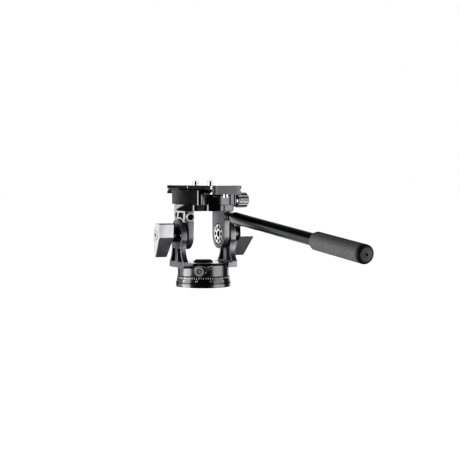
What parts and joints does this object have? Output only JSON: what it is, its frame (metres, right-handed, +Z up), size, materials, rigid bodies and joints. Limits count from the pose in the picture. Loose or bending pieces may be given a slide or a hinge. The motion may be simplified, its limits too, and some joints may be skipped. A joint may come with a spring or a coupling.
{
  "type": "monopod head",
  "caption": "Panning monopod head: a cradle tilts between uprights with wing lock knobs and carries a dovetail clamp, a sliding lens plate and a long pan handle.",
  "frame": {"origin": "centre of the base's mounting face, on the tripod thread's axis", "axes": "+Z up along the pan axis, +Y forward to where the lens looks, +X to the operator's right along the tilt axis"},
  "size_m": [0.1138, 0.3502, 0.1171],
  "materials": {
    "black_anodised": "black satin anodised",
    "charcoal_anodised": "dark grey satin anodised",
    "silver_anodised": "bead-blasted silver anodised",
    "stainless": "turned stainless steel",
    "bronze": "turned bronze",
    "friction_plastic": "filled low-friction plastic",
    "black_tube": "black smooth anodised",
    "grip_rubber": "fine-grained soft grip",
    "end_plastic": "moulded black plastic"
  },
  "bodies": {
    "base": {"base_plate": "black_anodised", "tripod_bush": "stainless", "degree_ring": "black_anodised", "pan_spindle": "stainless", "base_screws": "stainless", "lower_thrust_washer": "friction_plastic", "upper_thrust_washer": "friction_plastic", "spindle_cap": "black_anodised"},
    "yoke": {"pan_body": "black_anodised", "left_upright": "charcoal_anodised", "right_upright": "charcoal_anodised", "upright_screws": "stainless", "left_tilt_bush": "bronze", "right_tilt_bush": "bronze", "left_collar": "black_anodised", "right_collar": "black_anodised", "pan_brake_shoe": "bronze"},
    "pan_lever": {"pan_lock_lever": "charcoal_anodised", "pan_lock_screw": "stainless"},
    "left_knob": {"left_lock_knob": "silver_anodised", "left_lock_screw": "stainless", "left_knob_cap": "silver_anodised"},
    "right_knob": {"right_lock_knob": "silver_anodised", "right_lock_screw": "stainless", "right_knob_cap": "silver_anodised"},
    "cradle": {"top_plate": "black_anodised", "left_arm": "charcoal_anodised", "right_arm": "charcoal_anodised", "arm_screws": "stainless", "left_axle": "silver_anodised", "right_axle": "silver_anodised", "left_friction_washer": "friction_plastic", "right_friction_washer": "friction_plastic", "clamp_body": "black_anodised", "clamp_bolts": "stainless", "jaw_guide_pins": "stainless", "handle_stud": "stainless", "handle_nut": "black_anodised", "handle_plug": "stainless", "handle_tube": "black_tube", "handle_grip": "grip_rubber", "handle_end_cap": "end_plastic"},
    "jaw": {"moving_jaw": "black_anodised"},
    "jaw_knob": {"clamp_screw": "stainless", "clamp_knob": "silver_anodised", "clamp_knob_washer": "stainless"},
    "plate": {"lens_plate": "black_anodised", "camera_screws": "stainless", "stop_screws": "stainless"}
  },
  "joints": [
    {"name": "pan", "type": "hinge", "parent": "base", "child": "yoke", "pos_m": [0, 0, 0.0197], "axis": [0, 0, 1], "continuous": true},
    {"name": "tilt", "type": "hinge", "parent": "yoke", "child": "cradle", "pos_m": [0, 0, 0.058], "axis": [1, 0, 0], "range_deg": [-75, 65]},
    {"name": "left_lock", "type": "hinge", "parent": "yoke", "child": "left_knob", "pos_m": [-0.048, 0, 0.058], "axis": [-1, 0, 0], "range_deg": [0, 120]},
    {"name": "right_lock", "type": "hinge", "parent": "yoke", "child": "right_knob", "pos_m": [0.048, 0, 0.058], "axis": [1, 0, 0], "range_deg": [0, 120]},
    {"name": "pan_lock", "type": "hinge", "parent": "yoke", "child": "pan_lever", "pos_m": [0, 0, 0.0187], "axis": [-0.5, -0.866, 0], "range_deg": [-20, 70]},
    {"name": "jaw_slide", "type": "slide", "parent": "cradle", "child": "jaw", "axis": [1, 0, 0], "range_m": [0, 0.003]},
    {"name": "clamp_turn", "type": "hinge", "parent": "jaw", "child": "jaw_knob", "pos_m": [0.046, 0, 0.0954], "axis": [1, 0, 0], "range_deg": [0, 720]},
    {"name": "plate_slide", "type": "slide", "parent": "cradle", "child": "plate", "axis": [0, 1, 0], "range_m": [-0.02, 0.018]}
  ],
  "couplings": [
    {"joint": "jaw_slide", "follows": "clamp_turn", "m_per_rad": 0.0002387}
  ]
}
